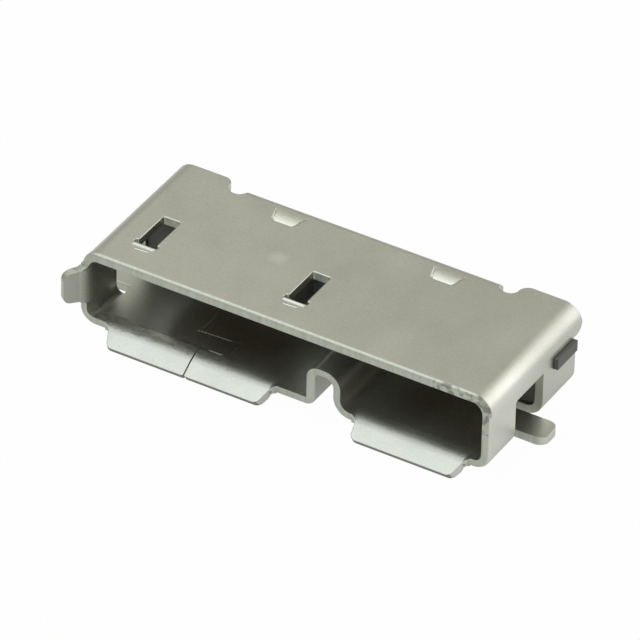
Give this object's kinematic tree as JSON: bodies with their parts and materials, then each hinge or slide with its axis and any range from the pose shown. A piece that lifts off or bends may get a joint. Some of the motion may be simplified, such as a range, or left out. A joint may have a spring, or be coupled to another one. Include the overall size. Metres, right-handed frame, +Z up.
{
  "type": "ten-way extended micro usb socket",
  "caption": "Low metal-shelled board socket with a wide bay and a narrower bay side by side, a keying hump between them, flared lips at the mouth and solder feet at the sides.",
  "frame": {"origin": "on the board plane under the shell, midway between the two solder feet", "axes": "+Z up from the board, +Y from the mouth towards the rear, +X along the mouth from the wide bay towards the narrower bay"},
  "size_m": [0.0142, 0.0058, 0.0027],
  "materials": {
    "shell_metal": "satin plated sheet",
    "housing_plastic": "moulded, matt black",
    "contact_metal": "thin gold plating"
  },
  "bodies": {
    "root": {"shell": "shell_metal", "housing": "housing_plastic", "contact_wide_1": "contact_metal", "contact_wide_2": "contact_metal", "contact_wide_3": "contact_metal", "contact_wide_4": "contact_metal", "contact_wide_5": "contact_metal", "contact_small_1": "contact_metal", "contact_small_2": "contact_metal", "contact_small_3": "contact_metal", "contact_small_4": "contact_metal", "contact_small_5": "contact_metal"}
  },
  "joints": []
}
